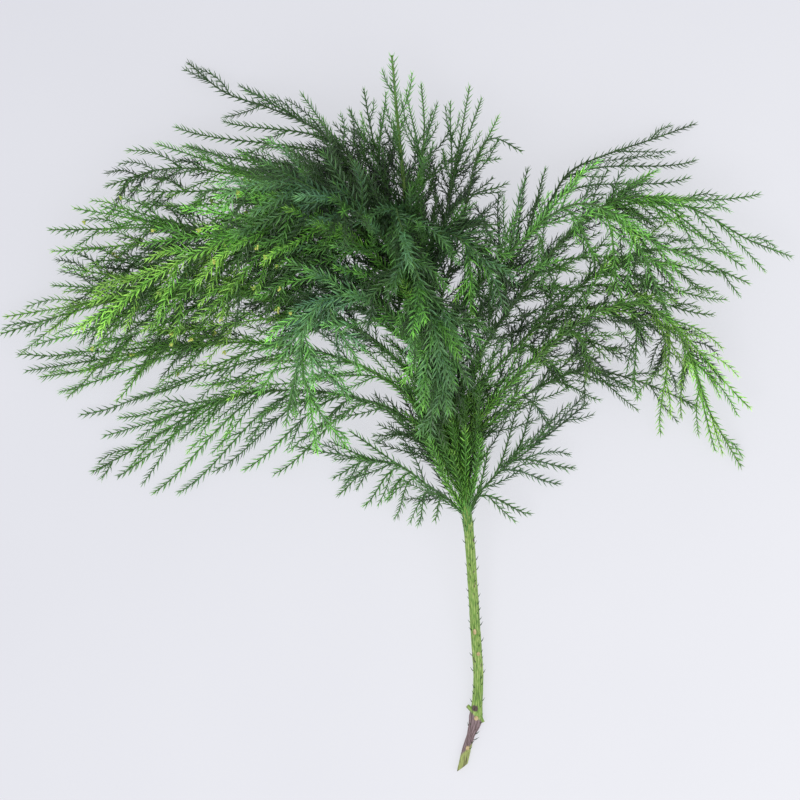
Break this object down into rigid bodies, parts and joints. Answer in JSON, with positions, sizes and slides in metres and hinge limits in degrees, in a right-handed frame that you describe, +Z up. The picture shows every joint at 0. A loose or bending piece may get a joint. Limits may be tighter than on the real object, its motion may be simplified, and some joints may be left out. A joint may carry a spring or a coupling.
{
  "type": "cryptomeria branch",
  "caption": "Cut conifer branch lying on its side: bare green stem with a scarred knob, and a wide crown of drooping limbs clothed in short curved needles",
  "frame": {"origin": "middle of the branch's box, on the surface that it lies on", "axes": "+X across the crown, +Y along the branch from the cut end to the highest tips, +Z up from the surface"},
  "size_m": [0.7902, 0.7125, 0.2054],
  "materials": {
    "bark": "satin living bark",
    "needles": "satin living needles"
  },
  "bodies": {
    "root": {"stem": "bark", "leader": "needles", "lower_left_limb": "needles", "lower_right_limb": "needles", "left_limb_1": "needles", "left_limb_2": "needles", "left_limb_3": "needles", "left_limb_4": "needles", "left_limb_5": "needles", "left_limb_6": "needles", "back_left_limb": "needles", "centre_left_limb": "needles", "centre_right_limb_1": "needles", "centre_right_limb_2": "needles", "centre_right_limb_3": "needles", "right_limb_1": "needles", "right_limb_2": "needles", "right_limb_3": "needles", "right_limb_4": "needles", "right_limb_5": "needles", "back_right_limb": "needles", "front_left_limb_1": "needles", "front_left_limb_2": "needles", "front_left_limb_3": "needles", "front_centre_limb_1": "needles", "front_centre_limb_2": "needles", "front_right_limb": "needles"}
  },
  "joints": []
}
